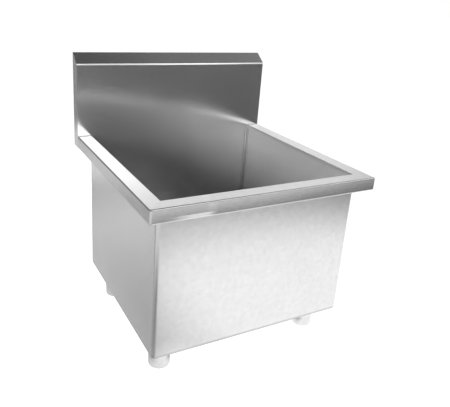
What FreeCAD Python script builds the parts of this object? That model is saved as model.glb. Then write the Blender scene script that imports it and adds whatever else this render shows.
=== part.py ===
import FreeCAD, Part
import math
import os
import re
import Sketcher

# A floor-standing laundry sink folded and welded from stainless sheet: a deep box bowl hung in a
# rim frame, a tall box backsplash, a plain skirt round three sides and four short screw feet.
# Millimetres, +Z up. The origin is on the floor, under the middle of the whole sink's outline.
# The front of the sink faces -Y and the backsplash stands at +Y.

SIZES = {
    # the whole sink
    "overall_width": 600,
    "rim_depth": 545,  # front of the apron to the face of the backsplash
    "ground_gap": 73,  # floor to the bottom of the skirt
    "gauge": 1.2,  # thickness of every folded sheet
    # rim frame
    "ledge_width": 40,
    "apron_drop": 34,
    "hem_width": 12,
    "lip_drop": 8,
    "rim_bend": 2,  # inside radius of the small folds
    # backsplash
    "splash_depth": 40,
    "splash_rise": 203,  # rim top to the front fold
    "slope_rise": 30,  # how far the sloped top climbs to the wall
    # bowl
    "bowl_depth": 345,
    "pan_lip": 14,  # height of the pan's turned-up edge
    "pan_cove": 10,  # inside radius of that edge
    "bowl_weld": 2.5,  # leg of the fillet weld in each bowl corner
    # skirt
    "side_inset": 30,
    "front_inset": 35,
    "skirt_setback": 19,  # skirt's rear face to the backsplash face
    "skirt_bend": 9,  # outside radius of the skirt's folds
    "flange_width": 22,
    "seam_inset": 10,  # side of the skirt to the weld on its front
    "seam_width": 2.4,
    "seam_proud": 0.2,
    "trim_gap": 0.5,
    # base channels under the bowl
    "base_height": 47.6,
    "rail_width": 64,
    "rail_gauge": 2,
    "rail_bend": 2,
    # legs and feet
    "leg_inset_side": 50,
    "leg_inset_end": 74,
    "leg_radius": 27,
    "leg_wall": 1.5,
    "foot_height": 24,
    "foot_taper_height": 4,
    "foot_base_radius": 26,
    "foot_edge": 1.5,
    "foot_seam": 0.3,  # gap left between the foot and the leg's end
    "stem_radius": 8,
    "stem_length": 42,
    "stem_fit": 0.05,
    "socket_height": 20,
    "socket_fit": 0.05,
    # drain opening in the pan
    "drain_setback": 252.5,  # front inside face of the bowl to the drain's axis
    "recess_depth": 6,
    "recess_floor_radius": 64,
    "recess_mouth_radius": 82,
    "drain_hole_radius": 44.5,
    # drain body
    "drain_flange_radius": 57,
    "drain_flange_height": 2,
    "drain_mouth_radius": 41.5,
    "drain_throat_radius": 40,
    "drain_thread_radius": 43.5,
    "drain_body_depth": 44,
    "drain_floor_height": 2,
    "spigot_radius": 23.9,
    "spigot_bore_radius": 19,
    "spigot_length": 14,
    # seals and nuts under the bowl
    "ring_radius": 56,
    "ring_gap": 0.5,
    "upper_seal_height": 1,
    "lower_seal_height": 3,
    "slip_ring_height": 1,
    "locknut_height": 12,
    "locknut_lug_reach": 4,
    "locknut_lug_width": 10,
    "thread_fit": 0.05,
    # tailpiece
    "tail_radius": 19.05,
    "tail_wall": 1.5,
    "tail_length": 36,
    "tail_collar_radius": 23.4,
    "tail_collar_height": 2,
    "tail_neck_swell": 0.4,  # how much the flared neck under the collar stands out from the tube
    "tail_washer_height": 1.5,
    "coupling_radius": 30,
    "coupling_height": 18,
    "coupling_lip": 4,
    # strainer basket
    "basket_rim_radius": 43,
    "basket_top_radius": 37.5,
    "basket_floor_radius": 33,
    "basket_depth": 29,
    "basket_wall": 1,
    "basket_seat_gap": 0.3,
    "post_radius": 4,
    "post_fit": 0.05,
    "post_shoulder_radius": 8,
    "knob_radius": 10,
    "knob_height": 9,
    "knob_lift": 2,  # basket rim to the underside of the knob
    "stopper_radius": 21.5,
    "stopper_height": 6,
    "basket_slot_width": 3,
    "basket_slot_height": 18,
    "basket_hole_radius": 2,
    "basket_hole_circle": 20,
}
BASKET_SLOTS = 16
BASKET_HOLES = 12
LOCKNUT_LUGS = 6
COUPLING_SIDES = 8

doc = FreeCAD.newDocument("LaundrySink")
sheet = doc.addObject("Spreadsheet::Sheet", "Dims")
for row, (alias, value) in enumerate(SIZES.items(), start=1):
    sheet.set(f"A{row}", alias)
    sheet.set(f"B{row}", str(value))
    sheet.setAlias(f"B{row}", alias)
doc.recompute()

# Places that several pieces share, in the rim's own frame: its origin is the front left top corner
# of the rim, X runs right, Y runs back and Z runs up.
TUB_HEIGHT = "(bowl_depth + base_height + 2 * gauge)"
TUB_BOTTOM = f"-{TUB_HEIGHT}"
RIM_HEIGHT = f"(ground_gap + {TUB_HEIGHT})"
PAN_TOP = "-(bowl_depth - pan_lip)"
PAN_UNDERSIDE = "-(bowl_depth + gauge)"
SPLASH_REAR = "rim_depth + splash_depth"
SKIRT_REAR = "rim_depth - skirt_setback"
SLOPE = "slope_rise / splash_depth"
SLOPED_GAUGE = "gauge * sqrt(splash_depth^2 + slope_rise^2) / splash_depth"
FLANGE_EDGE = "side_inset + flange_width"
SEAM_START = "side_inset + seam_inset"
SEAM_END = "side_inset + seam_inset + seam_width"
# Places on the drain's axis, measured from the floor of the recess in the pan.
BODY_SEAT = "upper_seal_height"
BODY_TOP = "upper_seal_height + drain_flange_height"
NUT_STACK = "gauge + lower_seal_height + slip_ring_height"
SPIGOT_END = "drain_body_depth + spigot_length"
TAIL_TOP = f"{SPIGOT_END} + tail_washer_height"
BASKET_RIM = f"{BODY_TOP} + basket_seat_gap"

made = []


def named(text):
    """Puts the sheet's name in front of every size in a bound text."""
    return re.sub(r"[a-z_]+", lambda word: f"Dims.{word[0]}" if word[0] in SIZES else word[0], text)


def bind(item, path, text):
    item.setExpression(path, named(text))


def new_body(name):
    body = doc.addObject("PartDesign::Body", name)
    body.Label = name
    made.append(body)
    return body


def place(body, across, back, up):
    """Stands a body's own frame at a point given from the sink's origin."""
    bind(body, "Placement.Base.x", across)
    bind(body, "Placement.Base.y", back)
    bind(body, "Placement.Base.z", up)


def place_on_rim(body, across="0", back="0", up="0"):
    """Stands a body's own frame at a point given from the rim's front left top corner."""
    place(
        body,
        f"-overall_width / 2 + ({across})",
        f"-(rim_depth + splash_depth) / 2 + ({back})",
        f"{RIM_HEIGHT} + ({up})",
    )


def place_on_drain(body):
    place_on_rim(
        body, "overall_width / 2", "ledge_width + drain_setback", "-(bowl_depth + recess_depth)"
    )


def origin_item(body, role):
    return next(item for item in body.Origin.OriginFeatures if item.Role == role)


def new_sketch(body, plane, offset):
    sketch = body.newObject("Sketcher::SketchObject", f"{body.Name}_sketch")
    sketch.AttachmentSupport = [(origin_item(body, plane), "")]
    sketch.MapMode = "FlatFace"
    if offset:
        bind(sketch, "AttachmentOffset.Base.z", offset)
    return sketch


def pin_point(sketch, geometry, point, across, up):
    """Ties one point of a sketch to two bound coordinates."""
    for kind, axis, text in (("DistanceX", -2, across), ("DistanceY", -1, up)):
        if text == "0":
            sketch.addConstraint(Sketcher.Constraint("PointOnObject", geometry, point, axis))
            continue
        index = sketch.addConstraint(Sketcher.Constraint(kind, -1, 1, geometry, point, 50.0))
        sketch.renameConstraint(index, f"{kind}_{geometry}")
        bind(sketch, f"Constraints.{kind}_{geometry}", text)


def outline(body, plane, corners, offset=None):
    """A closed outline with straight sides, each corner tied to its own pair of coordinates."""
    sketch = new_sketch(body, plane, offset)
    count = len(corners)
    rough = [
        FreeCAD.Vector(100 * math.cos(2 * math.pi * i / count), 100 * math.sin(2 * math.pi * i / count), 0)
        for i in range(count)
    ]
    for i in range(count):
        sketch.addGeometry(Part.LineSegment(rough[i], rough[(i + 1) % count]))
    for i in range(count):
        sketch.addConstraint(Sketcher.Constraint("Coincident", i, 2, (i + 1) % count, 1))
    for i, (across, up) in enumerate(corners):
        pin_point(sketch, i, 1, across, up)
    return sketch


def disc(body, plane, across, up, radius, offset=None):
    sketch = new_sketch(body, plane, offset)
    sketch.addGeometry(Part.Circle(FreeCAD.Vector(50, 50, 0), FreeCAD.Vector(0, 0, 1), 5))
    pin_point(sketch, 0, 3, across, up)
    index = sketch.addConstraint(Sketcher.Constraint("Radius", 0, 5.0))
    sketch.renameConstraint(index, "Radius")
    bind(sketch, "Constraints.Radius", radius)
    return sketch


def pad(body, sketch, length, reverse=False):
    feature = body.newObject("PartDesign::Pad", f"{body.Name}_pad")
    feature.Profile = sketch
    bind(feature, "Length", length)
    feature.Reversed = reverse
    doc.recompute()
    return feature


def cut(body, sketch, length):
    """A pocket that has to take material away."""
    before = body.Shape.Volume
    feature = body.newObject("PartDesign::Pocket", f"{body.Name}_cut")
    feature.Profile = sketch
    bind(feature, "Length", length)
    doc.recompute()
    if not feature.Shape.Volume < before - 1e-3:
        raise RuntimeError(f"{body.Label}: a cut took nothing away")
    return feature


def turned(body, corners):
    """A solid of revolution about the body's Z axis; corners are (radius, height)."""
    feature = body.newObject("PartDesign::Revolution", f"{body.Name}_turned")
    feature.Profile = outline(body, "XZ_Plane", corners)
    feature.ReferenceAxis = (origin_item(body, "Z_Axis"), [""])
    feature.Angle = 360
    doc.recompute()
    return feature


def around(body, feature, count):
    """Repeats a feature evenly round the body's Z axis."""
    pattern = body.newObject("PartDesign::PolarPattern", f"{body.Name}_pattern")
    pattern.Originals = [feature]
    pattern.Axis = (origin_item(body, "Z_Axis"), [""])
    pattern.Angle = 360
    pattern.Occurrences = count
    body.Tip = pattern
    doc.recompute()
    return pattern


def corner_edges(feature, sketch, corners):
    """Edges that a pad draws out from the numbered corners of its outline."""
    normal = sketch.Placement.Rotation.multVec(FreeCAD.Vector(0, 0, 1))
    found = []
    for i in corners:
        corner = sketch.Placement.multVec(sketch.Geometry[i].StartPoint)
        for number, edge in enumerate(feature.Shape.Edges, start=1):
            along = edge.Vertexes[-1].Point - edge.Vertexes[0].Point
            offset = edge.Vertexes[0].Point - corner
            if along.cross(normal).Length < 1e-6 and offset.cross(normal).Length < 1e-6:
                found.append(f"Edge{number}")
    return found


def rounded(body, feature, edges, radius):
    fillet = body.newObject("PartDesign::Fillet", f"{body.Name}_bend")
    fillet.Base = (feature, edges)
    bind(fillet, "Radius", radius)
    doc.recompute()
    return fillet


def folded(body, plane, outside, inside, length, bend, reverse=False, offset=None, wall="gauge"):
    """A folded sheet: its outside and inside lines run side by side and every corner is a bend."""
    count = len(outside)
    sketch = outline(body, plane, outside + inside[::-1], offset)
    feature = pad(body, sketch, length, reverse)
    outer = corner_edges(feature, sketch, range(1, count - 1))
    feature = rounded(body, feature, outer, f"{bend} + {wall}")
    inner = corner_edges(feature, sketch, range(count + 1, 2 * count - 1))
    return rounded(body, feature, inner, bend)


def from_side(side, text):
    """A distance across the sink, measured from its left or from its right side."""
    return text if side == "left" else f"overall_width - ({text})"


def oblong(across, along):
    """The four corners of an upright oblong between two pairs of coordinates."""
    return [
        (across[0], along[0]),
        (across[1], along[0]),
        (across[1], along[1]),
        (across[0], along[1]),
    ]


def opened(body, feature, faces):
    """Hollows a block into a tray of sheet, open at the given faces."""
    tray = body.newObject("PartDesign::Thickness", f"{body.Name}_tray")
    tray.Base = (feature, faces)
    bind(tray, "Value", "gauge")
    tray.Reversed = True
    doc.recompute()
    return tray


def faces_facing(feature, *directions):
    """Flat faces whose outward normals point the given ways."""
    found = []
    for number, face in enumerate(feature.Shape.Faces, start=1):
        if face.Surface.TypeId != "Part::GeomPlane":
            continue
        normal = face.normalAt(0, 0)
        if any((normal - FreeCAD.Vector(*way)).Length < 1e-6 for way in directions):
            found.append(f"Face{number}")
    return found


def ring(name, inner, outer, bottom, top):
    body = new_body(name)
    turned(body, oblong((inner, outer), (bottom, top)))
    return body


# ---- rim frame: three folded rails, mitred and welded at the front corners ----------------------

RIM_OUTSIDE = [
    ("hem_width", "-apron_drop"),
    ("0", "-apron_drop"),
    ("0", "0"),
    ("ledge_width", "0"),
    ("ledge_width", "-lip_drop"),
]
RIM_INSIDE = [
    ("hem_width", "-apron_drop + gauge"),
    ("gauge", "-apron_drop + gauge"),
    ("gauge", "-gauge"),
    ("ledge_width - gauge", "-gauge"),
    ("ledge_width - gauge", "-lip_drop"),
]
MITRE = "ledge_width + gauge"


def rim_front():
    body = new_body("rim_front")
    folded(body, "YZ_Plane", RIM_OUTSIDE, RIM_INSIDE, "overall_width", "rim_bend")
    for side in ("left", "right"):
        end = from_side(side, "0")
        mitre = outline(body, "XY_Plane", [(end, "0"), (end, MITRE), (from_side(side, MITRE), MITRE)])
        cut(body, mitre, "2 * apron_drop")
    place_on_rim(body)


def rim_side(side):
    body = new_body(f"rim_{side}")
    outside = [(from_side(side, across), up) for across, up in RIM_OUTSIDE]
    inside = [(from_side(side, across), up) for across, up in RIM_INSIDE]
    folded(body, "XZ_Plane", outside, inside, "rim_depth", "rim_bend", reverse=True)
    end = from_side(side, "0")
    mitre = outline(
        body, "XY_Plane", [(end, "0"), (from_side(side, MITRE), "0"), (from_side(side, MITRE), MITRE)]
    )
    cut(body, mitre, "2 * apron_drop")
    place_on_rim(body)


# ---- backsplash: one sheet from the bowl's floor up, over and down the back, with two end caps ---


def back_sheet():
    body = new_body("back_sheet")
    rear = SPLASH_REAR
    outside = [
        ("rim_depth", PAN_TOP),
        ("rim_depth", "splash_rise"),
        (rear, "splash_rise + slope_rise"),
        (rear, "-apron_drop"),
        (f"{rear} - hem_width", "-apron_drop"),
    ]
    inside = [
        ("rim_depth + gauge", PAN_TOP),
        ("rim_depth + gauge", f"splash_rise + gauge * {SLOPE} - {SLOPED_GAUGE}"),
        (f"{rear} - gauge", f"splash_rise + slope_rise - gauge * {SLOPE} - {SLOPED_GAUGE}"),
        (f"{rear} - gauge", "-apron_drop + gauge"),
        (f"{rear} - hem_width", "-apron_drop + gauge"),
    ]
    folded(body, "YZ_Plane", outside, inside, "overall_width - 2 * gauge", "rim_bend", offset="gauge")
    # below the rim the sheet is only as wide as the bowl
    for side in ("left", "right"):
        across = (from_side(side, "0"), from_side(side, "ledge_width"))
        strip = oblong(across, (f"{PAN_TOP} - gauge", "-lip_drop"))
        cut(body, outline(body, "XZ_Plane", strip, "-rim_depth"), "2 * gauge")
    place_on_rim(body)


def splash_end(side):
    body = new_body(f"splash_end_{side}")
    corners = [
        ("rim_depth", "-apron_drop"),
        ("rim_depth", "splash_rise"),
        (SPLASH_REAR, "splash_rise + slope_rise"),
        (SPLASH_REAR, "-apron_drop"),
    ]
    start = "0" if side == "left" else "overall_width - gauge"
    sketch = outline(body, "YZ_Plane", corners, start)
    cap = pad(body, sketch, "gauge")
    rounded(body, cap, corner_edges(cap, sketch, (1, 2, 3)), "rim_bend + gauge")
    place_on_rim(body)


# ---- bowl: flat walls on a pressed pan, fillet-welded in the four corners -----------------------

WALL_HEIGHT = "bowl_depth - pan_lip - lip_drop"


def bowl_wall(name, across, along):
    body = new_body(name)
    pad(body, outline(body, "XY_Plane", oblong(across, along), PAN_TOP), WALL_HEIGHT)
    place_on_rim(body)


def bowl_walls():
    for side in ("left", "right"):
        across = (from_side(side, "ledge_width - gauge"), from_side(side, "ledge_width"))
        bowl_wall(f"bowl_wall_{side}", across, ("ledge_width - gauge", "rim_depth + gauge"))
    across = ("ledge_width", "overall_width - ledge_width")
    bowl_wall("bowl_wall_front", across, ("ledge_width - gauge", "ledge_width"))


def bowl_weld(side, end):
    """The bead that fills one upright corner of the bowl."""
    body = new_body(f"bowl_weld_{end}_{side}")
    corner = "ledge_width" if end == "front" else "rim_depth"
    inward = "+" if end == "front" else "-"
    triangle = [
        (from_side(side, "ledge_width"), corner),
        (from_side(side, "ledge_width + bowl_weld"), corner),
        (from_side(side, "ledge_width"), f"{corner} {inward} bowl_weld"),
    ]
    pad(body, outline(body, "XY_Plane", triangle, PAN_TOP), WALL_HEIGHT)
    place_on_rim(body)


def bowl_pan():
    body = new_body("bowl_pan")
    reach = "overall_width / 2 - ledge_width + gauge"
    front = "-(drain_setback + gauge)"
    back = "rim_depth - ledge_width - drain_setback + gauge"
    block = outline(body, "XY_Plane", oblong((f"-({reach})", reach), (front, back)), "recess_depth - gauge")
    feature = pad(body, block, "pan_lip + gauge")
    base = feature.Shape.BoundBox.ZMin
    rims = [
        f"Edge{number}"
        for number, edge in enumerate(feature.Shape.Edges, start=1)
        if edge.BoundBox.ZMax < base + 1e-3
    ]
    feature = rounded(body, feature, rims, "pan_cove + gauge")
    opened(body, feature, faces_facing(feature, (0, 0, 1)))
    mouth = disc(body, "XY_Plane", "0", "0", "recess_mouth_radius", "recess_depth")
    cut(body, mouth, "2 * gauge")
    turned(
        body,
        [
            ("recess_mouth_radius", "recess_depth"),
            ("recess_floor_radius", "0"),
            ("drain_hole_radius", "0"),
            ("drain_hole_radius", "-gauge"),
            ("recess_floor_radius", "-gauge"),
            ("recess_mouth_radius", "recess_depth - gauge"),
        ],
    )
    place_on_drain(body)


# ---- skirt: two wrapped side panels and a flat front between them --------------------------------


def skirt_side(side):
    body = new_body(f"skirt_{side}")
    outer = from_side(side, "side_inset")
    inner = from_side(side, FLANGE_EDGE)
    block = outline(
        body, "XY_Plane", oblong((outer, inner), ("front_inset", SKIRT_REAR)), TUB_BOTTOM
    )
    feature = pad(body, block, f"{TUB_HEIGHT} - gauge")
    base = feature.Shape.BoundBox.ZMin
    upright = corner_edges(feature, block, (0, 3))
    open_way = (1, 0, 0) if side == "left" else (-1, 0, 0)
    open_x = feature.Shape.BoundBox.XMax if side == "left" else feature.Shape.BoundBox.XMin
    bottom = [
        f"Edge{number}"
        for number, edge in enumerate(feature.Shape.Edges, start=1)
        if edge.BoundBox.ZMax < base + 1e-3 and abs(edge.CenterOfMass.x - open_x) > 1e-3
    ]
    feature = rounded(body, feature, upright + bottom, "skirt_bend")
    opened(body, feature, faces_facing(feature, (0, 0, 1), open_way))
    # the front return stops at the seam, the rear return at the bowl's wall
    seam = oblong(
        (from_side(side, SEAM_START), from_side(side, f"{FLANGE_EDGE} + gauge")),
        ("front_inset - gauge", "front_inset + flange_width"),
    )
    cut(body, outline(body, "XY_Plane", seam), f"{TUB_HEIGHT} + gauge")
    wall = oblong(
        (from_side(side, "ledge_width - gauge"), from_side(side, f"{FLANGE_EDGE} + gauge")),
        (f"{SKIRT_REAR} - flange_width", f"{SKIRT_REAR} + gauge"),
    )
    cut(body, outline(body, "XY_Plane", wall), "bowl_depth + gauge + trim_gap")
    # its top corner is notched clear of the fold in the rim's lip
    notch = oblong(
        (from_side(side, "ledge_width - gauge - rim_bend"), from_side(side, FLANGE_EDGE)),
        (f"{SKIRT_REAR} - flange_width", f"{SKIRT_REAR} + gauge"),
    )
    cut(body, outline(body, "XY_Plane", notch), "gauge + rim_bend")
    place_on_rim(body)


def skirt_strip(name, start, width, proud="0"):
    """A stretch of the front skirt's section: a flat face, the bottom bend and the flange."""
    body = new_body(name)
    outside = [
        ("front_inset", "-gauge"),
        ("front_inset", TUB_BOTTOM),
        ("front_inset + flange_width", TUB_BOTTOM),
    ]
    inside = [
        ("front_inset + gauge", "-gauge"),
        ("front_inset + gauge", f"{TUB_BOTTOM} + gauge"),
        ("front_inset + flange_width", f"{TUB_BOTTOM} + gauge"),
    ]
    folded(body, "YZ_Plane", outside, inside, width, "(skirt_bend - gauge)", offset=start)
    place_on_rim(body, "0", f"-({proud})", f"-({proud})")


def skirt_front():
    skirt_strip("skirt_front", SEAM_END, f"overall_width - 2 * ({SEAM_END})")
    skirt_strip("skirt_weld_left", SEAM_START, "seam_width", "seam_proud")
    skirt_strip("skirt_weld_right", f"overall_width - ({SEAM_END})", "seam_width", "seam_proud")


# ---- base: two channels that carry the bowl and the legs, and an angle across the back -----------


def base_rail(side):
    body = new_body(f"base_rail_{side}")
    outside = [
        ("-rail_width / 2", "base_height"),
        ("-rail_width / 2", "0"),
        ("rail_width / 2", "0"),
        ("rail_width / 2", "base_height"),
    ]
    inside = [
        ("-rail_width / 2 + rail_gauge", "base_height"),
        ("-rail_width / 2 + rail_gauge", "rail_gauge"),
        ("rail_width / 2 - rail_gauge", "rail_gauge"),
        ("rail_width / 2 - rail_gauge", "base_height"),
    ]
    length = f"{SKIRT_REAR} - front_inset - 2 * skirt_bend"
    folded(body, "XZ_Plane", outside, inside, length, "rail_bend", reverse=True, wall="rail_gauge")
    across = from_side(side, "side_inset + leg_inset_side")
    place_on_rim(body, across, "front_inset + skirt_bend", f"{TUB_BOTTOM} + gauge")


def rear_angle():
    body = new_body("rear_angle")
    outside = [
        (SKIRT_REAR, PAN_UNDERSIDE),
        (SKIRT_REAR, TUB_BOTTOM),
        (f"{SKIRT_REAR} - flange_width", TUB_BOTTOM),
    ]
    inside = [
        (f"{SKIRT_REAR} - gauge", PAN_UNDERSIDE),
        (f"{SKIRT_REAR} - gauge", f"{TUB_BOTTOM} + gauge"),
        (f"{SKIRT_REAR} - flange_width", f"{TUB_BOTTOM} + gauge"),
    ]
    width = f"overall_width - 2 * ({FLANGE_EDGE})"
    folded(body, "YZ_Plane", outside, inside, width, "(skirt_bend - gauge)", offset=FLANGE_EDGE)
    place_on_rim(body)


# ---- legs: a tube, a threaded socket in its end and a foot that screws into the socket -----------


def leg(side, end):
    across = from_side(side, "side_inset + leg_inset_side")
    back = "front_inset + leg_inset_end" if end == "front" else f"{SKIRT_REAR} - leg_inset_end"
    tube = new_body(f"leg_tube_{end}_{side}")
    turned(tube, oblong(("leg_radius - leg_wall", "leg_radius"), ("foot_height", "ground_gap + gauge")))
    socket = new_body(f"leg_socket_{end}_{side}")
    turned(
        socket,
        oblong(
            ("stem_radius", "leg_radius - leg_wall - socket_fit"),
            ("foot_height", "foot_height + socket_height"),
        ),
    )
    foot = new_body(f"screw_foot_{end}_{side}")
    shoulder = "foot_height - foot_seam"
    shape = turned(
        foot,
        [
            ("0", "0"),
            ("foot_base_radius", "0"),
            ("leg_radius", "foot_taper_height"),
            ("leg_radius", shoulder),
            ("stem_radius - stem_fit", shoulder),
            ("stem_radius - stem_fit", "foot_height + stem_length"),
            ("0", "foot_height + stem_length"),
        ],
    )
    base = [
        f"Edge{number}"
        for number, edge in enumerate(shape.Shape.Edges, start=1)
        if edge.Curve.TypeId == "Part::GeomCircle" and edge.BoundBox.ZMax < 1e-3
    ]
    rounded(foot, shape, base, "foot_edge")
    for body in (tube, socket, foot):
        place_on_rim(body, across, back, f"-{RIM_HEIGHT}")


# ---- drain: everything turned about one upright axis --------------------------------------------


def drain_body():
    body = new_body("drain_body")
    floor = "-(drain_body_depth - drain_floor_height)"
    turned(
        body,
        [
            ("drain_mouth_radius", BODY_TOP),
            ("drain_flange_radius", BODY_TOP),
            ("drain_flange_radius", BODY_SEAT),
            ("drain_thread_radius", BODY_SEAT),
            ("drain_thread_radius", "-drain_body_depth"),
            ("spigot_radius", "-drain_body_depth"),
            ("spigot_radius", f"-({SPIGOT_END})"),
            ("spigot_bore_radius", f"-({SPIGOT_END})"),
            ("spigot_bore_radius", floor),
            ("drain_throat_radius", floor),
            ("drain_throat_radius", "0"),
        ],
    )
    place_on_drain(body)


def drain_rings():
    bore = "drain_thread_radius + ring_gap"
    lower = "-(gauge + lower_seal_height)"
    rings = [
        ring("drain_upper_seal", bore, "ring_radius", "0", BODY_SEAT),
        ring("drain_lower_seal", bore, "ring_radius", lower, "-gauge"),
        ring("drain_slip_ring", bore, "ring_radius", f"-({NUT_STACK})", lower),
        ring(
            "tail_washer",
            "tail_radius - tail_wall",
            "tail_collar_radius",
            f"-({TAIL_TOP})",
            f"-({SPIGOT_END})",
        ),
    ]
    for body in rings:
        place_on_drain(body)


def drain_locknut():
    body = new_body("drain_locknut")
    bottom = f"-({NUT_STACK} + locknut_height)"
    bore = "drain_thread_radius + thread_fit"
    turned(body, oblong((bore, "ring_radius"), (bottom, f"-({NUT_STACK})")))
    across = ("ring_radius - locknut_lug_reach", "ring_radius + locknut_lug_reach")
    lug = oblong(across, ("-locknut_lug_width / 2", "locknut_lug_width / 2"))
    around(body, pad(body, outline(body, "XY_Plane", lug, bottom), "locknut_height"), LOCKNUT_LUGS)
    place_on_drain(body)


def tailpiece():
    body = new_body("tailpiece")
    collar = f"-({TAIL_TOP} + tail_collar_height)"
    neck = "tail_radius + tail_neck_swell"
    end = f"-({TAIL_TOP} + tail_length)"
    turned(
        body,
        [
            ("tail_radius - tail_wall", f"-({TAIL_TOP})"),
            ("tail_collar_radius", f"-({TAIL_TOP})"),
            ("tail_collar_radius", collar),
            (neck, collar),
            (neck, f"{collar} - coupling_lip"),
            ("tail_radius", f"{collar} - coupling_lip"),
            ("tail_radius", end),
            ("tail_radius - tail_wall", end),
        ],
    )
    place_on_drain(body)


def coupling_nut():
    body = new_body("coupling_nut")
    shelf = f"-({TAIL_TOP} + tail_collar_height)"
    bottom = f"-({TAIL_TOP} + tail_collar_height + coupling_lip)"
    top = f"{bottom} + coupling_height"
    mouth = "tail_radius + tail_neck_swell + ring_gap"
    flats = [2 * math.pi * i / COUPLING_SIDES for i in range(COUPLING_SIDES)]
    corners = [
        (f"coupling_radius * {math.cos(turn):.9f}", f"coupling_radius * {math.sin(turn):.9f}")
        for turn in flats
    ]
    pad(body, outline(body, "XY_Plane", corners, bottom), "coupling_height")
    before = body.Shape.Volume
    bore = body.newObject("PartDesign::Groove", "coupling_nut_bore")
    bore.Profile = outline(
        body,
        "XZ_Plane",
        [
            ("0", f"{bottom} - gauge"),
            (mouth, f"{bottom} - gauge"),
            (mouth, shelf),
            ("spigot_radius + thread_fit", shelf),
            ("spigot_radius + thread_fit", f"{top} + gauge"),
            ("0", f"{top} + gauge"),
        ],
    )
    bore.ReferenceAxis = (origin_item(body, "Z_Axis"), [""])
    bore.Angle = 360
    doc.recompute()
    if not bore.Shape.Volume < before:
        raise RuntimeError("coupling_nut: the bore took nothing away")
    place_on_drain(body)


# ---- strainer basket, which lifts out -----------------------------------------------------------

BASKET_FLOOR = f"{BASKET_RIM} - basket_depth"
STOPPER_BASE = "-(drain_body_depth - drain_floor_height) + basket_seat_gap"
STOPPER_TOP = f"{STOPPER_BASE} + stopper_height"


def basket_cup():
    body = new_body("basket_cup")
    turned(
        body,
        [
            ("basket_rim_radius", f"{BASKET_RIM} + basket_wall"),
            ("basket_rim_radius", BASKET_RIM),
            ("basket_top_radius", BASKET_RIM),
            ("basket_floor_radius", BASKET_FLOOR),
            ("post_radius + post_fit", BASKET_FLOOR),
            ("post_radius + post_fit", f"{BASKET_FLOOR} + basket_wall"),
            ("basket_floor_radius - basket_wall", f"{BASKET_FLOOR} + basket_wall"),
            ("basket_top_radius - basket_wall", f"{BASKET_RIM} + basket_wall"),
        ],
    )
    half = "basket_slot_width / 2"
    foot = f"{BASKET_FLOOR} + 3 * basket_wall"
    slot = oblong((f"-{half}", half), (foot, f"{foot} + basket_slot_height"))
    around(body, cut(body, outline(body, "XZ_Plane", slot), "basket_rim_radius"), BASKET_SLOTS)
    hole = disc(
        body, "XY_Plane", "basket_hole_circle", "0", "basket_hole_radius", f"{BASKET_FLOOR} + basket_wall"
    )
    around(body, cut(body, hole, "2 * basket_wall"), BASKET_HOLES)
    place_on_drain(body)


def basket_post():
    body = new_body("basket_post")
    knob = f"{BASKET_RIM} + basket_wall + knob_lift"
    feature = turned(
        body,
        [
            ("0", f"{knob} + knob_height"),
            ("knob_radius", f"{knob} + knob_height"),
            ("knob_radius", knob),
            ("post_radius", knob),
            ("post_radius", BASKET_FLOOR),
            ("post_shoulder_radius", BASKET_FLOOR),
            ("post_shoulder_radius", STOPPER_TOP),
            ("post_radius", STOPPER_TOP),
            ("post_radius", STOPPER_BASE),
            ("0", STOPPER_BASE),
        ],
    )
    top = feature.Shape.BoundBox.ZMax
    crown = [
        f"Edge{number}"
        for number, edge in enumerate(feature.Shape.Edges, start=1)
        if edge.Curve.TypeId == "Part::GeomCircle" and edge.BoundBox.ZMin > top - 1e-3
    ]
    rounded(body, feature, crown, "knob_height / 3")
    place_on_drain(body)


def basket_stopper():
    place_on_drain(
        ring("basket_stopper", "post_radius + post_fit", "stopper_radius", STOPPER_BASE, STOPPER_TOP)
    )


rim_front()
for side in ("left", "right"):
    rim_side(side)
back_sheet()
for side in ("left", "right"):
    splash_end(side)
bowl_walls()
bowl_pan()
for end in ("front", "rear"):
    for side in ("left", "right"):
        bowl_weld(side, end)
for side in ("left", "right"):
    skirt_side(side)
skirt_front()
for side in ("left", "right"):
    base_rail(side)
rear_angle()
for end in ("front", "rear"):
    for side in ("left", "right"):
        leg(side, end)
drain_body()
drain_rings()
drain_locknut()
tailpiece()
coupling_nut()
basket_cup()
basket_post()
basket_stopper()

doc.recompute()
for item in doc.Objects:
    if "Invalid" in item.State or "Error" in item.State:
        raise RuntimeError(f"{item.Label} failed to build: {item.State}")
os.makedirs("parts", exist_ok=True)
for body in made:
    shape = body.Shape
    if shape.isNull() or not shape.isValid() or not shape.Solids:
        raise RuntimeError(f"{body.Label} has no sound solid")
    shape.exportStep(f"parts/{body.Label}.step")
    print(f"{body.Label}: {len(shape.Solids)} solid, {shape.Volume / 1000:.1f} cm3")
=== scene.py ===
# %% Load the solid model
import math

import bmesh
import bpy
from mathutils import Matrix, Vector, noise


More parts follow.
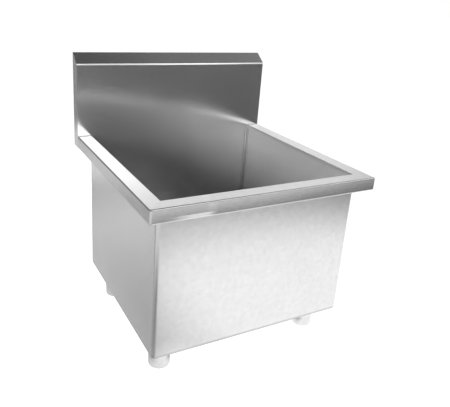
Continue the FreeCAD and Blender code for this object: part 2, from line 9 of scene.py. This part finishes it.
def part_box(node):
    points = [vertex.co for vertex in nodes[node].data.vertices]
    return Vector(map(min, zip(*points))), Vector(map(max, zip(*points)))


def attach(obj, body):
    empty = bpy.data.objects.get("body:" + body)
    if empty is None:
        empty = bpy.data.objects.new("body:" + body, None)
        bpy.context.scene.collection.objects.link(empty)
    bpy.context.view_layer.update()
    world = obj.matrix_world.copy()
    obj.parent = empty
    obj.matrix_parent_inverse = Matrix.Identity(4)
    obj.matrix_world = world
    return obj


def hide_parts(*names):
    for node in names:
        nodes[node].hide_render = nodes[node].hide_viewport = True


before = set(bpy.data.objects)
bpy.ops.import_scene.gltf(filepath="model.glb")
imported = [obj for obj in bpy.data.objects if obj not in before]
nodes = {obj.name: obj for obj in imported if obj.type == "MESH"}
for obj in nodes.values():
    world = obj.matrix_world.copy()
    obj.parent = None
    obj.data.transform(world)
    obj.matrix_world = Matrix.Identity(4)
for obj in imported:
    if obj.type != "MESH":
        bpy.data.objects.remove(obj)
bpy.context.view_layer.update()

# %% [markdown]
# # A stainless laundry sink
#
# The sink is folded from thin stainless sheet: a deep bowl hung in a rim frame, a tall box
# backsplash, a plain skirt and four short feet. The solid model already has every sheet with its
# folds, so it stays as it is, and this file gives it light and finishes. A few small things that are
# too irregular for a solid model, such as weld beads and screw threads, are made here as meshes.

# %% [markdown]
# ## Camera
#
# The camera was fitted to the corners of the rim, the backsplash, the skirt and the feet in the
# photograph. A focal length in pixels becomes a lens by the ratio of the sensor's width to the
# picture's width. The picture is a crop of a larger frame, so its middle isn't the lens's axis: the
# shift says by how much.

# %% Camera
PICTURE_WIDTH, PICTURE_HEIGHT = 450, 407
FOCAL_PIXELS = 525.9
AXIS_PIXEL = (213.6, 166.7)
CAMERA_PLACE = (-0.6605, -1.1752, 0.8892)
CAMERA_TURNS = (71.18, -3.69, -28.15)

camera_data = bpy.data.cameras.new("camera")
camera_data.sensor_width = 36
camera_data.lens = FOCAL_PIXELS * camera_data.sensor_width / PICTURE_WIDTH
camera_data.shift_x = (PICTURE_WIDTH / 2 - AXIS_PIXEL[0]) / PICTURE_WIDTH
camera_data.shift_y = (AXIS_PIXEL[1] - PICTURE_HEIGHT / 2) / PICTURE_WIDTH
camera_data.clip_start = 0.01
camera = bpy.data.objects.new("camera", camera_data)
camera.location = CAMERA_PLACE
camera.rotation_euler = [math.radians(turn) for turn in CAMERA_TURNS]
bpy.context.scene.collection.objects.link(camera)
bpy.context.scene.camera = camera
bpy.context.scene.view_settings.view_transform = "Standard"
print(f"lens {camera_data.lens:.1f} mm")

# %% [markdown]
# ## Shader maths as Python
#
# A material is a graph of nodes, and every sum in it is a Math node with two links. Written out,
# one line of maths takes ten lines of code. `Signal` wraps a socket and gives it Python's own
# signs, so `0.2 + 0.1 * grain` adds the Math nodes by itself. `Graph` holds the nodes of one
# material or world, and its method `node` adds any other kind of node: its settings first, then
# its sockets.


# %% Signal
class Signal:
    """A socket of a shader that does sums."""

    def __init__(self, graph, socket):
        self.graph = graph
        self.socket = socket

    def sum(self, operation, left, right):
        return self.graph.node("ShaderNodeMath", {"operation": operation}, {0: left, 1: right})

    def __add__(self, other):
        return self.sum("ADD", self, other)

    def __mul__(self, other):
        return self.sum("MULTIPLY", self, other)

    def __sub__(self, other):
        return self.sum("SUBTRACT", self, other)

    def __rsub__(self, other):
        return self.sum("SUBTRACT", other, self)

    def __pow__(self, other):
        return self.sum("POWER", self, other)

    def __abs__(self):
        return self.sum("ABSOLUTE", self, 0.0)

    def at_most(self, other):
        return self.sum("MINIMUM", self, other)

    __radd__ = __add__
    __rmul__ = __mul__


print("signals do sums")


# %% Graph
class Graph:
    """The nodes of one material or world."""

    def __init__(self, owner):
        owner.use_nodes = True
        self.owner = owner
        self.tree = owner.node_tree
        self.tree.nodes.clear()

    def node(self, kind, settings=None, sockets=None, output=0):
        made = self.tree.nodes.new(kind)
        for name, value in (settings or {}).items():
            setattr(made, name, value)
        for name, value in (sockets or {}).items():
            if isinstance(value, Signal):
                self.tree.links.new(value.socket, made.inputs[name])
            else:
                made.inputs[name].default_value = value
        return Signal(self, made.outputs[output]) if made.outputs else None

    def place(self):
        """Where a point is on the piece, in metres."""
        return self.node("ShaderNodeTexCoord", output="Object")

    def parts(self, vector):
        """The three numbers of a vector."""
        split = self.node("ShaderNodeSeparateXYZ", sockets={"Vector": vector}).socket.node
        return [Signal(self, socket) for socket in split.outputs]

    def distance(self, centre):
        """How far a point of the piece is from a centre."""
        return self.node(
            "ShaderNodeVectorMath", {"operation": "DISTANCE"}, {0: self.place(), 1: centre}, output=1
        )

    def between(self, value, low, high, start=0.0, end=1.0):
        """A smooth change from start to end while a value goes from low to high."""
        return self.node(
            "ShaderNodeMapRange",
            {"interpolation_type": "SMOOTHSTEP"},
            {"Value": value, "From Min": low, "From Max": high, "To Min": start, "To Max": end},
        )

    def stretched(self, scale):
        return self.node("ShaderNodeMapping", sockets={"Vector": self.place(), "Scale": scale})

    def noise(self, where, scale, detail=2.0):
        return self.node(
            "ShaderNodeTexNoise", sockets={"Vector": where, "Scale": scale, "Detail": detail}
        )

    def blend(self, amount, low, high):
        """A colour between two greys or colours."""
        return self.node(
            "ShaderNodeMix", {"data_type": "RGBA"}, {"Factor": amount, 6: low, 7: high}, output=2
        )

    def bump(self, height, reach):
        return self.node(
            "ShaderNodeBump", sockets={"Height": height, "Distance": reach, "Strength": 1.0}
        )

    def surface(self, **sockets):
        shader = self.node(
            "ShaderNodeBsdfPrincipled",
            sockets={name.replace("_", " "): value for name, value in sockets.items()},
        )
        self.show(shader)
        return self.owner

    def glow(self, brightness):
        """Light of its own, as many times as bright as white paper."""
        self.show(self.node("ShaderNodeEmission", sockets={"Strength": brightness}))
        return self.owner

    def show(self, shader):
        self.node("ShaderNodeOutputMaterial", sockets={"Surface": shader})


def finish_named(name):
    return Graph(bpy.data.materials.new(name))


def grey(value):
    return (value, value, value, 1.0)


print("shader helpers ready")

# %% [markdown]
# ## Stainless sheet
#
# Satin sheet has a fine grain from the brush, faint stains from handling, and is never quite flat:
# folding and welding pull slow waves into it, a few tenths of a millimetre high. The grain could be
# a picture laid on the sheet, but then every sheet would need unwrapping. Noise that is stretched
# sixty times along the sheet needs no unwrapping and never repeats. The waves show only in what the
# steel mirrors, so they are a bump, and the grain varies the roughness and a little the tone.
# A haze of film and fine scratches scatters light, which a share of metal below 1 stands for.

# %% Sheet finish
GRAIN_ACROSS, GRAIN_ALONG = 350.0, 6.0
CLOUD_SCALE, MOTTLE_SCALE, WAVE_SCALE = 7.0, 75.0, 5.0
WAVE_HEIGHT = 0.0004
MOTTLE_SHARE, GRAIN_SHARE, CLOUD_SHARE = 0.6, 0.15, 0.25
STAIN_DEPTH = 0.14
DARKENED_TONE = 0.5
METAL_SHARE = 0.88
ROUGHNESS_SWING = 0.04


def sheet_finish(name, tone, roughness, grain_axis, buckle=None, metal=METAL_SHARE, darkening=None):
    """Brushed sheet. A buckle is a height in metres, and darkening a share of a darker tone, at each
    place.
    """
    finish = finish_named(name)
    scale = [GRAIN_ACROSS, GRAIN_ACROSS, GRAIN_ACROSS]
    scale[grain_axis] = GRAIN_ALONG
    grain = finish.noise(finish.stretched(scale), 1.0)
    cloud = finish.noise(finish.place(), CLOUD_SCALE, 3.0)
    mottle = finish.noise(finish.place(), MOTTLE_SCALE, 4.0)
    stain = MOTTLE_SHARE * mottle + GRAIN_SHARE * grain + CLOUD_SHARE * cloud
    waves = finish.noise(finish.place(), WAVE_SCALE, 1.0) * WAVE_HEIGHT
    if buckle:
        waves = waves + buckle(finish)
    colour = finish.blend(stain, grey(tone * (1 - STAIN_DEPTH)), grey(tone * (1 + STAIN_DEPTH)))
    # The darkening is painted shade along the skirts' bottom fold, and a darker strip on the bowl.
    if darkening:
        colour = finish.blend(darkening(finish), colour, grey(tone * DARKENED_TONE))
    return finish.surface(
        Base_Color=colour,
        Metallic=metal,
        Roughness=roughness + ROUGHNESS_SWING * (cloud + grain - 1.0),
        Normal=finish.bump(waves, 1.0),
    )


print("sheet finish ready")

# %% [markdown]
# ## Buckles
#
# Some sheets are further out of true. The backsplash leans back by up to three degrees, more in one
# place than in the next, which bends its reflection into a wavy band. The front apron bows, its
# edges are rolled and its bottom edge took a knock, and the left rail is twisted. Bending the meshes
# would pull the sheets off their neighbours. A height that is added to the waves changes only what
# the steel mirrors. Where the apron's edges are comes from the solid model's box.

# %% Buckles of the backsplash, the apron and the left rail
RIM_LEFT_SIDE, RIM_FRONT, APRON_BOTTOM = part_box("rim_front")[0]
RIM_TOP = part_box("rim_front")[1][2]
APRON_MIDDLE = round((APRON_BOTTOM + RIM_TOP) / 2, 4)
SPLASH_FOLD = 0.671
LEAN, LEAN_SWING, LEAN_TO_THE_RIGHT = 0.028, 0.023, 0.03
LEAN_PIVOT, SWING_START, HALF_SWING = 0.55, -0.12, 0.35
FOLD_ROLL, FRONT_ROLL, CORNER_ROLL, ROLL_WIDTH = 0.0005, 0.0006, 0.0018, 0.006
RAIL_TWIST, TWIST_HEIGHT, TWIST_END = 0.18, 0.45, 0.25
APRON_BOW = 2.0
KNOCK_SLOPE, KNOCK_RISE = 0.14, 0.011
KNOCK_LEFT, KNOCK_RIGHT = (-0.27, -0.2), (-0.145, -0.175)


def splash_buckle(finish):
    """The backsplash leans more and less along its length, and its top rolls back into the fold."""
    across, _, up = finish.parts(finish.place())
    swing = finish.node(
        "ShaderNodeMath",
        {"operation": "SINE"},
        {0: (across - SWING_START) * (math.pi / HALF_SWING)},
    )
    lean = LEAN_SWING * swing + LEAN + LEAN_TO_THE_RIGHT * across
    fold_roll = finish.between(up, SPLASH_FOLD - ROLL_WIDTH, SPLASH_FOLD, 0.0, FOLD_ROLL)
    return (LEAN_PIVOT - up) * lean - fold_roll


def rail_twist(finish):
    """The left rail's outer face turns up a little more towards the front corner."""
    _, back, up = finish.parts(finish.place())
    return (up - TWIST_HEIGHT) * (back - TWIST_END) * RAIL_TWIST


def apron_dent(finish):
    """The front apron bows, and its bottom edge is knocked in near the left end."""
    across, back, up = finish.parts(finish.place())
    bow = APRON_BOW * (up - APRON_MIDDLE) ** 2.0
    knock = (up - APRON_BOTTOM).at_most(KNOCK_RISE) * KNOCK_SLOPE
    dent = knock * finish.between(across, *KNOCK_LEFT) * finish.between(across, *KNOCK_RIGHT)
    front_roll = finish.between(back, RIM_FRONT + ROLL_WIDTH, RIM_FRONT, 0.0, FRONT_ROLL)
    corner_roll = finish.between(
        across, RIM_LEFT_SIDE + ROLL_WIDTH, RIM_LEFT_SIDE, 0.0, CORNER_ROLL
    )
    return bow + dent - front_roll - corner_roll


print(f"apron from {APRON_BOTTOM:.3f} to {RIM_TOP:.3f} m, its middle at {APRON_MIDDLE} m")

# %% [markdown]
# ## Darker strip and painted shade
#
# The bowl's side walls are darker in a ragged strip beside the rear corners. Along the skirt's
# bottom fold a line of painted shade stands for the shade under the sink that the fold mirrors.
# Both blend the steel towards a darker tone, each by a share at each place, and noise added to the
# place makes the strip's edge ragged.

# %% Darker strip on the bowl and painted shade on the skirt
DARKENING_SHARE = 0.8
STRIP = (0.236, 0.26)
STRIP_RAGS, RAG_SCALE = 0.01, 60.0
FOLD_LINE = (0.086, 0.077)


def rear_corner_darkening(finish):
    """A darker, ragged strip beside the bowl's rear corners."""
    _, back, _ = finish.parts(finish.place())
    ragged = back + STRIP_RAGS * finish.noise(finish.place(), RAG_SCALE)
    return finish.between(ragged, *STRIP, 0.0, DARKENING_SHARE)


def painted_fold_shade(finish):
    """Painted shade in a line along the skirt's bottom fold."""
    _, _, up = finish.parts(finish.place())
    return finish.between(up, *FOLD_LINE, 0.0, DARKENING_SHARE)


print("soil ready")

# %% [markdown]
# ## The steels
#
# All the sheets are one kind of steel, but the brush ran a different way on each, and some have more
# haze than others. So one function makes them all, and a steel is a line of settings: its tone, its
# roughness, the way its grain runs and what is special about it. A drawn tube and a plated nut are
# the same finish with less roughness.

# %% Steels
ACROSS, BACK, UP = 0, 1, 2
LITTLE_HAZE, MORE_HAZE = 0.95, 0.8
STEELS = {
    "backsplash_steel": dict(tone=0.8, roughness=0.17, grain_axis=ACROSS, buckle=splash_buckle),
    "rim_front_steel": dict(tone=0.8, roughness=0.26, grain_axis=ACROSS, buckle=apron_dent),
    "rim_left_steel": dict(
        tone=0.8, roughness=0.26, grain_axis=BACK, buckle=rail_twist, metal=LITTLE_HAZE
    ),
    "rim_side_steel": dict(tone=0.8, roughness=0.26, grain_axis=BACK),
    "bowl_steel": dict(tone=0.8, roughness=0.24, grain_axis=UP, metal=MORE_HAZE, darkening=rear_corner_darkening),
    "pan_steel": dict(tone=0.6, roughness=0.34, grain_axis=ACROSS, metal=LITTLE_HAZE),
    # The skirts get painted shade along their bottom fold.
    "skirt_steel": dict(tone=0.8, roughness=0.24, grain_axis=ACROSS, darkening=painted_fold_shade),
    "skirt_side_steel": dict(tone=0.8, roughness=0.24, grain_axis=BACK, darkening=painted_fold_shade),
    "base_steel": dict(tone=0.6, roughness=0.35, grain_axis=BACK),
    "tube_steel": dict(tone=0.8, roughness=0.14, grain_axis=UP),
    "drain_steel": dict(tone=0.65, roughness=0.2, grain_axis=UP),
    "weld_steel": dict(tone=0.3, roughness=0.4, grain_axis=UP, metal=LITTLE_HAZE),
    "chrome": dict(tone=0.8, roughness=0.08, grain_axis=UP),
}
FINISHES = {name: sheet_finish(name, **steel) for name, steel in STEELS.items()}
print(f"{len(FINISHES)} steels")

# %% [markdown]
# ## Rubber and plastic
#
# The drain's seals are rubber, and its slip ring and the legs' sockets are moulded plastic. Both
# have a faint mottle and a fine pebbled skin, which is a second, finer noise in a shallow bump.

# %% Rubber and plastic
PEBBLES_PER_MOTTLE = 12
PEBBLE_HEIGHT = 0.00003
DULLNESS_SWING = 0.1


def moulded_finish(name, low, high, roughness, scale):
    """Rubber and moulded plastic, between two colours."""
    finish = finish_named(name)
    mottle = finish.noise(finish.place(), scale, 3.0)
    pebble = finish.noise(finish.place(), scale * PEBBLES_PER_MOTTLE)
    return finish.surface(
        Base_Color=finish.blend(mottle, low, high),
        Roughness=roughness + DULLNESS_SWING * (mottle - 0.5),
        Normal=finish.bump(pebble, PEBBLE_HEIGHT),
    )


WHITE_LOW, WHITE_HIGH = (0.72, 0.71, 0.68, 1), (0.78, 0.77, 0.74, 1)
FINISHES["rubber"] = moulded_finish("rubber", grey(0.02), grey(0.035), 0.7, 60.0)
FINISHES["black_plastic"] = moulded_finish("black_plastic", grey(0.03), grey(0.045), 0.45, 80.0)
FINISHES["white_plastic"] = moulded_finish("white_plastic", WHITE_LOW, WHITE_HIGH, 0.4, 80.0)
print(f"{len(FINISHES)} finishes")

# %% [markdown]
# ## Which piece has which finish
#
# The pieces of the solid model have plain names, so the start of a name is enough to choose the
# finish of a whole family of pieces. The first start that fits counts, so a piece with a finish of
# its own stands before its family.

# %% Dress the pieces
DRESS = {
    "back_sheet": "backsplash_steel",
    "splash_end": "backsplash_steel",
    "rim_front": "rim_front_steel",
    "rim_left": "rim_left_steel",
    "rim_": "rim_side_steel",
    "bowl_pan": "pan_steel",
    "bowl_": "bowl_steel",
    "skirt_front": "skirt_steel",
    "skirt_weld": "skirt_steel",
    "skirt_": "skirt_side_steel",
    "base_rail": "base_steel",
    "rear_angle": "base_steel",
    "leg_tube": "tube_steel",
    "leg_socket": "black_plastic",
    "screw_foot": "tube_steel",
    "drain_upper_seal": "rubber",
    "drain_lower_seal": "rubber",
    "tail_washer": "rubber",
    "basket_stopper": "rubber",
    "drain_slip_ring": "white_plastic",
    "drain_locknut": "chrome",
    "coupling_nut": "chrome",
    "tailpiece": "chrome",
    "drain_body": "drain_steel",
    "basket_": "drain_steel",
}
for name, piece in nodes.items():
    start = next(start for start in DRESS if name.startswith(start))
    piece.data.materials.clear()
    piece.data.materials.append(FINISHES[DRESS[start]])
print("dressed", len(nodes))

# %% [markdown]
# ## From rings to a piece
#
# A weld bead and a threaded stem are each a row of rings with the same number of points. A modifier
# could repeat one ring, but then all rings would be alike. Here every point is placed by a formula,
# and two helpers do the rest: one joins the rings with faces and closes both ends, the other turns
# the mesh into a piece that moves with its body.


# %% Rings into a piece
def skin(shape, rings):
    """Joins rings of points with faces and closes both ends."""
    for low, high in zip(rings, rings[1:]):
        for k in range(len(low)):
            after = (k + 1) % len(low)
            shape.faces.new((low[k], low[after], high[after], high[k]))
    shape.faces.new(rings[0])
    shape.faces.new(rings[-1])


def finish_mesh(name, shape, finish, body):
    """Turns a bmesh into a smooth piece that rides on a body."""
    bmesh.ops.recalc_face_normals(shape, faces=shape.faces)
    mesh = bpy.data.meshes.new(name)
    shape.to_mesh(mesh)
    shape.free()
    mesh.shade_smooth()
    mesh.materials.append(FINISHES[finish])
    piece = bpy.data.objects.new(name, mesh)
    bpy.context.scene.collection.objects.link(piece)
    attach(piece, body)
    return piece


print("mesh helpers ready")

# %% [markdown]
# ## Weld beads
#
# The bowl's walls meet in four welded corners, and each side rail is welded to the backsplash. A weld
# is a row of overlapping ripples that was laid by hand, so its width wanders. The solid model keeps
# each bowl weld as a plain three-cornered strip. Here a bead is a row of rings along the corner, each
# ring a bulging fillet between the two walls, and its size swings once per ripple.

# %% Weld beads
RIPPLE = 0.0036
RINGS_PER_RIPPLE = 5
FILLET_POINTS = 6
BULGE = 0.3
LEAST_WIDTH, RIPPLE_SWING, HAND_SWING = 0.72, 0.16, 0.12
HAND_SCALE = 90.0
RAIL_WELD_LEG = 0.0014


def weld_bead(name, start, end, walls, leg):
    """A bead along the corner from start to end. Each wall is a direction away from the corner."""
    first, second = (Vector(wall) for wall in walls)
    steps = round((end - start).length / RIPPLE * RINGS_PER_RIPPLE)
    shape = bmesh.new()
    rings = []
    for step in range(steps + 1):
        corner = start.lerp(end, step / steps)
        ripple = abs(math.sin(math.pi * step / RINGS_PER_RIPPLE))
        hand = noise.noise(corner * HAND_SCALE)
        width = leg * (LEAST_WIDTH + RIPPLE_SWING * ripple + HAND_SWING * hand)
        points = [corner]
        for point in range(FILLET_POINTS):
            share = point / (FILLET_POINTS - 1)
            bulge = 1 + BULGE * math.sin(math.pi * share)
            points.append(corner + width * bulge * first.lerp(second, share))
        rings.append([shape.verts.new(point) for point in points])
    skin(shape, rings)
    return finish_mesh(name, shape, "weld_steel", "sink")


for side, inward in (("left", 1), ("right", -1)):
    for end, onward in (("front", 1), ("rear", -1)):
        low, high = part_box(f"bowl_weld_{end}_{side}")
        x = low[0] if side == "left" else high[0]
        y = low[1] if end == "front" else high[1]
        bottom, top = Vector((x, y, low[2])), Vector((x, y, high[2]))
        walls = ((inward, 0, 0), (0, onward, 0))
        bead = weld_bead(f"weld_bead_{end}_{side}", bottom, top, walls, high[0] - low[0])
        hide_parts(f"bowl_weld_{end}_{side}")
    low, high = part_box(f"rim_{side}")
    inner, outer = (high[0], low[0]) if side == "left" else (low[0], high[0])
    rail_start = Vector((inner, high[1], high[2]))
    rail_end = Vector((outer + inward * RIPPLE, high[1], high[2]))
    weld_bead(f"rail_weld_{side}", rail_start, rail_end, ((0, 0, 1), (0, -1, 0)), RAIL_WELD_LEG)
print("6 weld beads")

# %% [markdown]
# ## Feet
#
# A foot is turned from bar: a plain cylinder with a rounded lower edge, and a threaded stem that
# screws up into the leg. The thread's shape repeats once per turn, so one wall of points round the
# stem makes it: each point's radius depends on how far round and how high it is.

# %% Screw feet
FOOT_PROFILE = [
    (0.0245, 0.0),
    (0.0256, 0.0004),
    (0.026, 0.0014),
    (0.027, 0.004),
    (0.027, 0.0237),
]
STEM_CREST, STEM_ROOT, STEM_TIP = 0.0079, 0.0071, 0.0067
THREAD_START, THREAD_END, THREAD_PITCH = 0.0245, 0.0645, 0.002
AROUND = 40
ROWS_PER_TURN = 6
SHARP_ANGLE = 50


def thread_radius(share_round, height):
    """The stem's radius at a point: a screw line that fades out at both ends."""
    phase = (height / THREAD_PITCH - share_round) % 1.0
    depth = abs(2 * phase - 1)
    fade = min(1.0, (height - THREAD_START) / THREAD_PITCH, (THREAD_END - height) / THREAD_PITCH)
    return STEM_CREST - (STEM_CREST - STEM_ROOT) * depth * fade


def turned_foot(x, y, top):
    """A foot that stands on the floor, and its stem up to a height."""
    rows = [[(radius, height)] * AROUND for radius, height in FOOT_PROFILE]
    rows.append([(STEM_CREST, FOOT_PROFILE[-1][1])] * AROUND)
    steps = round((THREAD_END - THREAD_START) / THREAD_PITCH * ROWS_PER_TURN)
    for step in range(steps + 1):
        height = THREAD_START + (THREAD_END - THREAD_START) * step / steps
        rows.append([(thread_radius(k / AROUND, height), height) for k in range(AROUND)])
    rows.append([(STEM_TIP, top)] * AROUND)

    turns = [2 * math.pi * k / AROUND for k in range(AROUND)]
    shape = bmesh.new()
    rings = []
    for row in rows:
        ring = [
            shape.verts.new((x + radius * math.cos(turn), y + radius * math.sin(turn), height))
            for turn, (radius, height) in zip(turns, row)
        ]
        rings.append(ring)
    skin(shape, rings)
    return shape


for end in ("front", "rear"):
    for side in ("left", "right"):
        place = f"{end}_{side}"
        low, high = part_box(f"screw_foot_{place}")
        x, y = (round((low[axis] + high[axis]) / 2, 4) for axis in (0, 1))
        shape = turned_foot(x, y, high[2])
        foot = finish_mesh(f"turned_foot_{place}", shape, "tube_steel", f"foot_{place}")
        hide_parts(f"screw_foot_{place}")
        sharp = foot.modifiers.new("sharp_edges", "EDGE_SPLIT")
        sharp.split_angle = math.radians(SHARP_ANGLE)
        print(f"foot at {x}, {y}, stem up to {high[2]:.3f} m")

# %% [markdown]
# ## Floor
#
# Steel has hardly a colour of its own: it shows its surroundings. Every flat sheet of the sink is a
# mirror of one part of the studio, so most of a steel's look is made in the studio. In the picture
# itself the floor and the background are plain white. A floor that only the lamp lights would be
# grey and patchy, so it is paper with a glow of its own that brings it up to white.

# %% Floor
FLOOR_SIZE = (60, 60)
FLOOR_STEP = 0.0005
FLOOR_GLOW = 0.98
PAPER_LOW, PAPER_HIGH = grey(0.44), grey(0.46)


def panel(name, centre, size, material):
    """A flat oblong of the studio."""
    mesh = bpy.data.meshes.new(name)
    across, along = size[0] / 2, size[1] / 2
    corners = [(-across, -along, 0), (across, -along, 0), (across, along, 0), (-across, along, 0)]
    mesh.from_pydata(corners, [], [(0, 1, 2, 3)])
    mesh.materials.append(material)
    made = bpy.data.objects.new(name, mesh)
    made.location = centre
    bpy.context.scene.collection.objects.link(made)
    return made


paper = finish_named("floor_paper")
mottle = paper.noise(paper.place(), 2.0)
white_paper = paper.surface(
    Base_Color=paper.blend(mottle, PAPER_LOW, PAPER_HIGH),
    Roughness=0.9,
    Emission_Color=grey(1.0),
    Emission_Strength=FLOOR_GLOW,
)
panel("floor", (0, 0, -FLOOR_STEP), FLOOR_SIZE, white_paper)
print(f"floor of {FLOOR_SIZE[0]} by {FLOOR_SIZE[1]} m")

# %% [markdown]
# ## What the steel mirrors below the horizon
#
# The camera looks down, so every upright sheet mirrors the ground: a white sheet on the right that
# fades out in steps, dark ground on the left with pools of light, more pools in front, and shade
# under the sink. Painted on the floor, all this would show in the picture. So it is a second board,
# a hair above the floor, that only reflections see. Every pool is the same soft disc, given by its
# centre, where its edge starts and ends, and its brightness.

# %% Mirrored floor
SHEET_CENTRE = (0.35, -0.05, 0.0)
SHEET_STEPS = ((0.75, 1.0, 0.5), (0.95, 1.25, 0.3), (1.2, 1.6, 0.25))
LEFT_SIDE = (0.05, -0.42)
LEFT_POOLS = (
    ((-0.45, 0.4, 0.0), 0.2, 0.75, 0.15),
    ((-0.5, 0.95, 0.0), 0.3, 0.9, 0.2),
    ((-0.8, 1.6, 0.0), 0.3, 0.7, 0.4),
)
FRONT_POOLS = (
    ((-1.15, -0.7, 0.0), 0.3, 0.65, 0.5),
    ((-0.5, -1.25, 0.0), 0.3, 0.6, 0.7),
    ((-0.2, -0.27, 0.0), 0.04, 0.14, 0.5),
)
ROOM_FLOOR = 0.05
SHADE, SHADE_ACROSS, SHADE_BACK = 0.8, (0.2, 0.15), (0.26, 0.2)

ground = finish_named("floor_look")


def pool(centre, inside, outside, brightness):
    """A round pool of light with a soft edge."""
    return ground.between(ground.distance(centre), inside, outside, brightness, 0.0)


across, back, _ = ground.parts(ground.place())
on_the_left = ground.between(across, *LEFT_SIDE)
sheet = sum(pool(SHEET_CENTRE, *step) for step in SHEET_STEPS)
left_pools = sum(pool(*step) for step in LEFT_POOLS)
under_sink = ground.between(abs(across), *SHADE_ACROSS) * ground.between(abs(back), *SHADE_BACK)
look = ROOM_FLOOR + sheet * (1.0 - on_the_left) + left_pools * on_the_left
look = look + sum(pool(*step) for step in FRONT_POOLS)
look = look * (1.0 - SHADE * under_sink)
floor_look = panel("floor_look", (0, 0, FLOOR_STEP), FLOOR_SIZE, ground.glow(look))
for kind in ("camera", "diffuse", "shadow", "transmission", "volume_scatter"):
    setattr(floor_look, f"visible_{kind}", False)
print(f"{len(LEFT_POOLS) + len(FRONT_POOLS)} pools of light on the mirrored floor")

# %% [markdown]
# ## What the steel mirrors above the horizon
#
# The ledges, the sloped top and every rolled edge mirror the room. Behind the sink is a wall that is
# brightest high up, in front on the right a large window, and a dim canopy hangs over the front. The
# left is nearly dark. Two round glows light the side ledges. Walls and lamps made as meshes would
# also light the sink and show in the picture. The world can do without: it has one brightness for
# the rays that mirror, a low one for the light that it gives, and plain white for the camera.
# A height in it is the sine of the angle over the horizon, and each pair below says where a change
# starts and ends.

# %% Parts of the room
LOW_WALL, LEFT_LOW_WALL, WALL, HIGH_WALL = 0.6, 0.2, 0.45, 1.0
WINDOW, CEILING, CANOPY = 1.9, 0.2, 0.3
SIDE_CHANGE = (-0.2, 0.2)
SKIRTING_TOP, WINDOW_TOP, WALL_TOP = (0.05, 0.2), (0.34, 0.5), (0.64, 0.82)
CEILING_EDGE = (0.97, 0.82)
CANOPY_BOTTOM, CANOPY_TOP, CANOPY_FRONT = (0.42, 0.52), (0.85, 0.75), (-0.3, -0.5)

world = Graph(bpy.data.worlds.new("studio"))
bpy.context.scene.world = world.owner
way = world.node("ShaderNodeTexCoord", output="Generated")
right, back, up = world.parts(way)
to_back, to_right = world.between(back, *SIDE_CHANGE), world.between(right, *SIDE_CHANGE)
over_skirting = world.between(up, *SKIRTING_TOP)
over_window = world.between(up, *WINDOW_TOP)
over_wall = world.between(up, *WALL_TOP)

skirting_light = LEFT_LOW_WALL + to_right * (LOW_WALL - LEFT_LOW_WALL)
low_part = skirting_light * (1.0 - over_skirting) * to_back
wall_or_window = to_back * WALL + (1.0 - to_back) * WINDOW
middle_part = (over_skirting - over_window) * to_right * wall_or_window
high_part = (over_window - over_wall) * to_right * to_back * HIGH_WALL
ceiling = over_wall * to_right * world.between(up, *CEILING_EDGE) * CEILING
canopy_height = world.between(up, *CANOPY_BOTTOM) * world.between(up, *CANOPY_TOP)
canopy = canopy_height * world.between(back, *CANOPY_FRONT) * CANOPY
print("5 parts of the room")

# %% Glows
GLOWS = ((-74, 21, 5, 14, 0.7), (51, 13, 4, 11, 0.6))


def toward(turn, rise):
    """A direction from the sink: degrees round from its right-hand side, and over the horizon."""
    turn, rise = math.radians(turn), math.radians(rise)
    return Vector((math.cos(turn) * math.cos(rise), math.sin(turn) * math.cos(rise), math.sin(rise)))


def glow_at(turn, rise, inside, outside, brightness):
    """A soft round light in a direction: inside and outside are its edge's angles."""
    near = world.node(
        "ShaderNodeVectorMath",
        {"operation": "DOT_PRODUCT"},
        {0: way, 1: toward(turn, rise)},
        output=1,
    )
    edge, middle = math.cos(math.radians(outside)), math.cos(math.radians(inside))
    return world.between(near, edge, middle, 0.0, brightness)


glows = sum(glow_at(*glow) for glow in GLOWS)
print(f"{len(GLOWS)} glows")

# %% World
FILL_LIGHT = 0.1

mirrored = low_part + middle_part + high_part + ceiling + canopy + glows
camera_ray, mirror_ray, through_ray = (
    world.node("ShaderNodeLightPath", output=f"Is {kind} Ray")
    for kind in ("Camera", "Glossy", "Transmission")
)
plain = FILL_LIGHT + (1 - FILL_LIGHT) * (camera_ray + through_ray)
brightness = plain + mirror_ray * (mirrored - FILL_LIGHT)
light = world.node("ShaderNodeBackground", sockets={"Color": grey(1.0), "Strength": brightness})
world.node("ShaderNodeOutputWorld", sockets={"Surface": light})
print("world ready")

# %% [markdown]
# ## Lamp
#
# The bowl is bright on its right and falls off into shade, which so even a world can't do. One flat
# lamp on the left, a little in front and twice as high as the rim, shines into it. A lamp's energy
# grows with its face, so it is worked out from how bright the face is next to white paper.

# %% Left lamp
LAMP_AIM = toward(187, 14)
LAMP_DISTANCE = 2.6
LAMP_TARGET = Vector((0, 0, 0.45))
LAMP_SIZE = (1.4, 0.8)
LAMP_BRIGHTNESS = 36

lamp_data = bpy.data.lights.new("left_lamp", "AREA")
lamp_data.shape = "RECTANGLE"
lamp_data.size, lamp_data.size_y = LAMP_SIZE
lamp_data.energy = LAMP_BRIGHTNESS * math.pi * LAMP_SIZE[0] * LAMP_SIZE[1]
lamp = bpy.data.objects.new("left_lamp", lamp_data)
lamp.location = LAMP_TARGET + LAMP_DISTANCE * LAMP_AIM
lamp.rotation_euler = LAMP_AIM.to_track_quat("Z", "Y").to_euler()
bpy.context.scene.collection.objects.link(lamp)
print(f"lamp of {lamp_data.energy:.0f} W")
